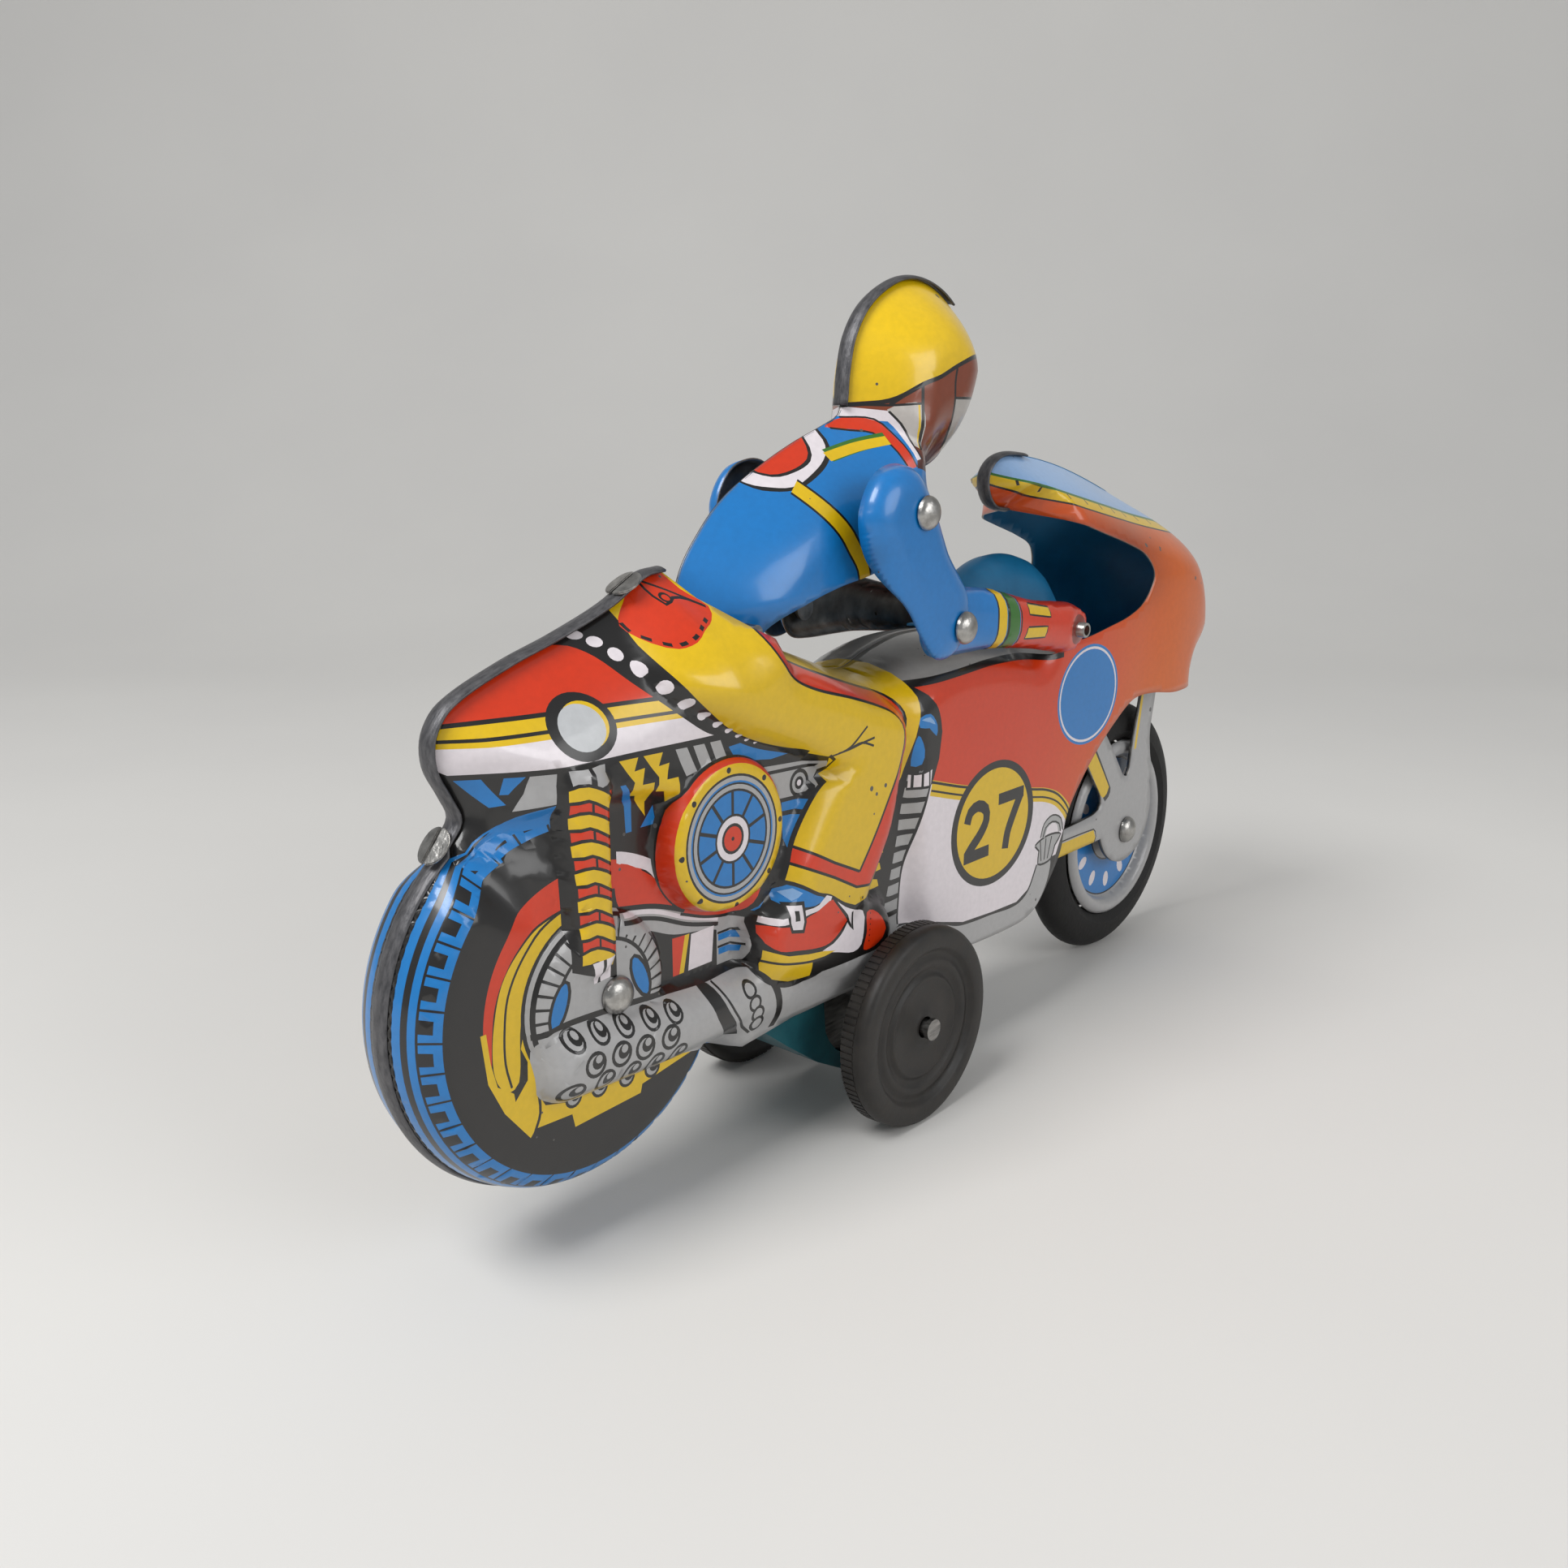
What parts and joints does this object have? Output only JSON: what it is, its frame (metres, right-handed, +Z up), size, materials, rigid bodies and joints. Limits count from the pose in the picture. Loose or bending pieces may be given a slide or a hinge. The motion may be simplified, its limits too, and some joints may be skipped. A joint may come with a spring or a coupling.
{
  "type": "wind-up toy motorcycle",
  "caption": "Lithographed tin wind-up toy: a faired racing motorcycle with a crouching helmeted rider, driven by side wheels from a clockwork motor.",
  "frame": {"origin": "on the floor, at the centre of the toy's length and width", "axes": "+X towards the front wheel, +Y to the rider's left, +Z up"},
  "size_m": [0.2301, 0.0494, 0.1498],
  "materials": {
    "printed_body": "glossy lithographed tin, orange-red with printed artwork",
    "printed_rider": "glossy lithographed tin, blue with printed artwork",
    "seam_strip": "bare dulled tin strip folded over the seam",
    "plated_rivet": "dulled nickel plate",
    "bare_steel": "bare steel",
    "spring_steel": "blued spring steel",
    "brass": "stamped brass",
    "grey_tin": "grey tin with printed yellow strips",
    "wheel_tin": "grey and blue printed tin wheel",
    "teal_tin": "teal painted tin",
    "blue_tin": "blue painted tin",
    "tyre": "black rubber",
    "black_plastic": "black moulded plastic, dusty"
  },
  "bodies": {
    "motorcycle": {"right_body_shell": "printed_body", "left_body_shell": "printed_body", "rear_seam_strip": "seam_strip", "windscreen_seam_strip": "seam_strip", "hip_split_tab": "plated_rivet", "tail_split_tab": "plated_rivet", "rear_hub_rivet": "plated_rivet", "motor_plate_right": "bare_steel", "motor_plate_left": "bare_steel", "motor_pillar_1": "bare_steel", "motor_pillar_2": "bare_steel", "motor_pillar_3": "bare_steel", "motor_pillar_4": "bare_steel", "mainspring": "spring_steel", "ratchet_click": "bare_steel", "motor_guard": "teal_tin", "fork_plate_right": "grey_tin", "fork_plate_left": "grey_tin", "front_axle_rivet": "plated_rivet", "fork_spacer_top": "bare_steel", "fork_spacer_middle": "bare_steel", "fork_spacer_rear": "bare_steel", "handlebar": "plated_rivet", "inner_cowl": "blue_tin", "hip_pin": "bare_steel"},
    "torso": {"rider_body_right": "printed_rider", "rider_body_left": "printed_rider", "helmet_seam_strip": "seam_strip", "shoulder_rivet_right": "plated_rivet", "shoulder_rivet_left": "plated_rivet"},
    "upper_arm_right": {"upper_arm_right": "printed_rider", "elbow_rivet_right": "plated_rivet"},
    "upper_arm_left": {"upper_arm_left": "printed_rider", "elbow_rivet_left": "plated_rivet"},
    "forearm_right": {"forearm_right": "printed_rider"},
    "forearm_left": {"forearm_left": "printed_rider"},
    "key": {"winding_key": "bare_steel", "winding_arbor": "bare_steel", "ratchet_wheel": "bare_steel"},
    "great": {"great_wheel": "brass"},
    "second": {"second_wheel": "brass"},
    "drive": {"drive_axle": "bare_steel", "drive_pinion": "bare_steel", "side_wheel_right": "black_plastic", "side_wheel_left": "black_plastic"},
    "front_wheel": {"front_tyre": "tyre", "front_wheel_disc_right": "wheel_tin", "front_wheel_disc_left": "wheel_tin"}
  },
  "joints": [
    {"name": "torso_lean", "type": "hinge", "parent": "motorcycle", "child": "torso", "pos_m": [-0.048, 0, 0.0925], "axis": [0, 1, 0], "range_deg": [-4, 4]},
    {"name": "shoulder_right", "type": "hinge", "parent": "torso", "child": "upper_arm_right", "pos_m": [-0.017, 0, 0.11], "axis": [0, 1, 0], "range_deg": [-1, 1]},
    {"name": "elbow_right", "type": "hinge", "parent": "upper_arm_right", "child": "forearm_right", "pos_m": [-0.005, 0, 0.0895], "axis": [0, 1, 0], "range_deg": [-10, 10]},
    {"name": "shoulder_left", "type": "hinge", "parent": "torso", "child": "upper_arm_left", "pos_m": [-0.017, 0, 0.11], "axis": [0, 1, 0], "range_deg": [-1, 1]},
    {"name": "elbow_left", "type": "hinge", "parent": "upper_arm_left", "child": "forearm_left", "pos_m": [-0.005, 0, 0.0895], "axis": [0, 1, 0], "range_deg": [-10, 10]},
    {"name": "key_wind", "type": "hinge", "parent": "motorcycle", "child": "key", "pos_m": [-0.053, 0, 0.049], "axis": [0, 1, 0], "continuous": true},
    {"name": "great_spin", "type": "hinge", "parent": "motorcycle", "child": "great", "pos_m": [-0.053, 0, 0.049], "axis": [0, 1, 0], "continuous": true},
    {"name": "second_spin", "type": "hinge", "parent": "motorcycle", "child": "second", "pos_m": [-0.03222, 0, 0.03699], "axis": [0, 1, 0], "continuous": true},
    {"name": "drive_spin", "type": "hinge", "parent": "motorcycle", "child": "drive", "pos_m": [-0.0168, 0, 0.0186], "axis": [0, 1, 0], "continuous": true},
    {"name": "front_wheel_spin", "type": "hinge", "parent": "motorcycle", "child": "front_wheel", "pos_m": [0.0853, 0, 0.0296], "axis": [0, 1, 0], "continuous": true}
  ],
  "couplings": [
    {"joint": "shoulder_right", "follows": "torso_lean", "ratio": 0.1354},
    {"joint": "elbow_right", "follows": "torso_lean", "ratio": -2.1854},
    {"joint": "shoulder_left", "follows": "torso_lean", "ratio": 0.1354},
    {"joint": "elbow_left", "follows": "torso_lean", "ratio": -2.1854},
    {"joint": "second_spin", "follows": "drive_spin", "ratio": -0.41176},
    {"joint": "great_spin", "follows": "drive_spin", "ratio": 0.10836}
  ]
}
